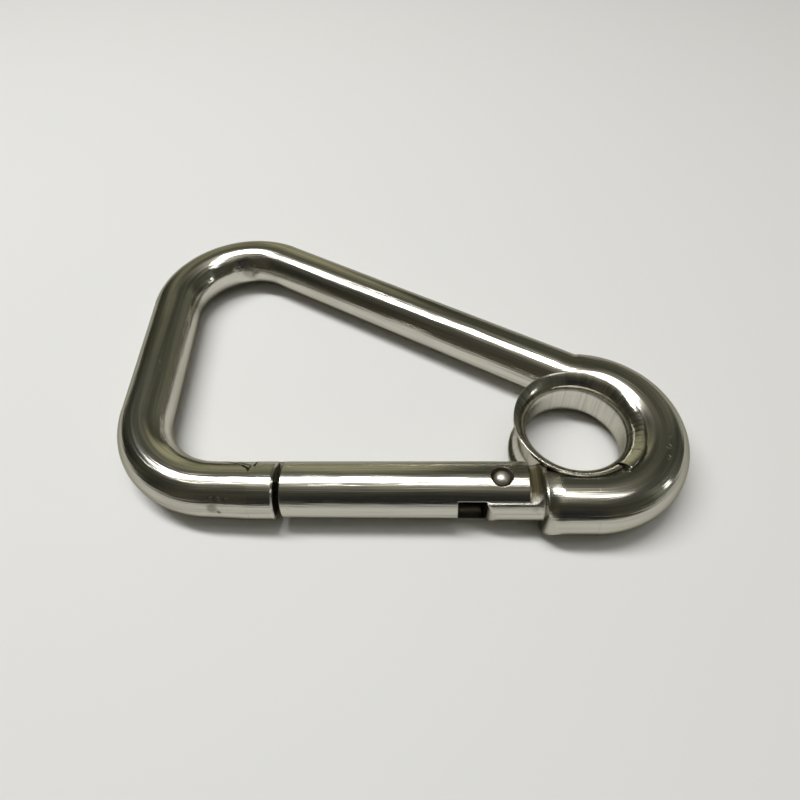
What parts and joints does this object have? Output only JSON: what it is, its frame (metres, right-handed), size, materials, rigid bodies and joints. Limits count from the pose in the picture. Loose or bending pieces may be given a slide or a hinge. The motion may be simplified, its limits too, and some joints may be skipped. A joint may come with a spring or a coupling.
{
  "type": "carabiner spring hook with thimble",
  "caption": "Delta-shaped carabiner hook bent from round bar, with an inward-opening sprung gate, a notched arrow latch and a round eye lined by a rolled thimble for a rope.",
  "frame": {"origin": "centre of the thimble's throat, on the mid-plane of the hook", "axes": "+X along the hook from the nose to the eye, +Y from the gate to the long arm, +Z along the axis of the thimble and of the gate's rivet"},
  "size_m": [0.1203, 0.0838, 0.0127],
  "materials": {
    "bar_steel": "polished",
    "rivet_steel": "satin",
    "spring_wire": "drawn",
    "thimble_sheet": "rolled"
  },
  "bodies": {
    "hook": {"frame": "bar_steel", "thimble": "thimble_sheet"},
    "gate": {"gate": "bar_steel", "pivot_rivet": "rivet_steel", "gate_spring": "spring_wire"},
    "plunger": {"spring_plunger": "rivet_steel"}
  },
  "joints": [
    {"name": "gate_hinge", "type": "hinge", "parent": "hook", "child": "gate", "pos_m": [-0.0154, -0.012, 0], "axis": [0, 0, -1], "range_deg": [0, 30], "stiffness_Nm_per_rad": 0.2, "springref_deg": -28.65},
    {"name": "plunger_slide", "type": "slide", "parent": "gate", "child": "plunger", "axis": [-1, 0, 0], "range_m": [0, 0.00095], "deforming": ["gate_spring"]}
  ],
  "couplings": [
    {"joint": "plunger_slide", "follows": "gate_hinge", "m_per_rad": 0.0018}
  ]
}
